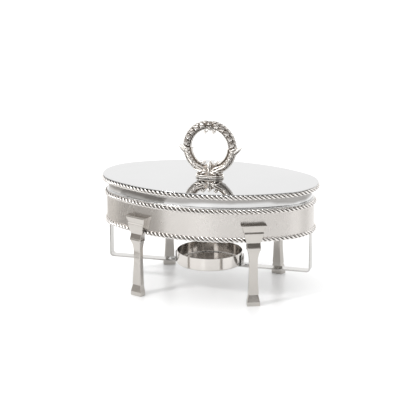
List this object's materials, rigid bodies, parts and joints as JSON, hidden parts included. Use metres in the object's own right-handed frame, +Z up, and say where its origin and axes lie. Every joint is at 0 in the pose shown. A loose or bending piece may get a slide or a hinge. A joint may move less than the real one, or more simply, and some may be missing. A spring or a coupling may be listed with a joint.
{
  "type": "oval chafing dish",
  "caption": "Oval chafing dish with a flat lift-off lid, upright ring handle, rope borders, square legs, nested pans and a burner dish on a strap.",
  "frame": {"origin": "middle of the footprint, on the surface the feet stand on", "axes": "+Z up, +X along the oval's long axis, +Y across it; the pictured side faces -Y"},
  "size_m": [0.3692, 0.2292, 0.282],
  "materials": {
    "polished_steel": "mirror-polished stainless sheet",
    "rope_plating": "nickel-plated twisted border",
    "cast_plating": "nickel-plated casting, darker in the hollows",
    "leg_plating": "nickel-plated casting, polished",
    "strap_steel": "polished flat bar",
    "dish_steel": "bright drawn steel, faintly brushed round",
    "pan_steel": "fine satin stainless",
    "fastener_steel": "plain steel"
  },
  "bodies": {
    "frame": {"body_band": "polished_steel", "upper_rope": "rope_plating", "lower_rope": "rope_plating", "leg_bracket_front_left": "leg_plating", "leg_bracket_front_right": "leg_plating", "leg_bracket_back_left": "leg_plating", "leg_bracket_back_right": "leg_plating", "leg_front_left": "leg_plating", "leg_front_right": "leg_plating", "leg_back_left": "leg_plating", "leg_back_right": "leg_plating", "leg_studs": "fastener_steel", "bracket_screws": "fastener_steel", "bracket_washers": "fastener_steel", "burner_strap": "strap_steel", "strap_brackets": "fastener_steel", "strap_screws": "fastener_steel", "strap_nuts": "fastener_steel", "dish_lugs": "strap_steel", "lug_rivets": "fastener_steel"},
    "water_pan": {"water_pan": "pan_steel"},
    "food_pan": {"food_pan": "pan_steel"},
    "lid": {"lid_plate": "polished_steel", "lid_skirt": "polished_steel", "lid_rope": "rope_plating", "lid_lip": "pan_steel", "handle_ring": "cast_plating", "handle_cradle": "cast_plating", "handle_base": "cast_plating", "handle_screws": "fastener_steel", "handle_washers": "fastener_steel"},
    "burner_dish": {"burner_dish": "dish_steel"}
  },
  "joints": [
    {"name": "water_pan_lift", "type": "slide", "parent": "frame", "child": "water_pan", "axis": [0, 0, 1], "range_m": [0, 0.06]},
    {"name": "food_pan_lift", "type": "slide", "parent": "water_pan", "child": "food_pan", "axis": [0, 0, 1], "range_m": [0, 0.05]},
    {"name": "lid_lift", "type": "slide", "parent": "food_pan", "child": "lid", "axis": [0, 0, 1], "range_m": [0, 0.1]},
    {"name": "burner_dish_slide", "type": "slide", "parent": "frame", "child": "burner_dish", "axis": [0, -1, 0], "range_m": [0, 0.12]}
  ]
}
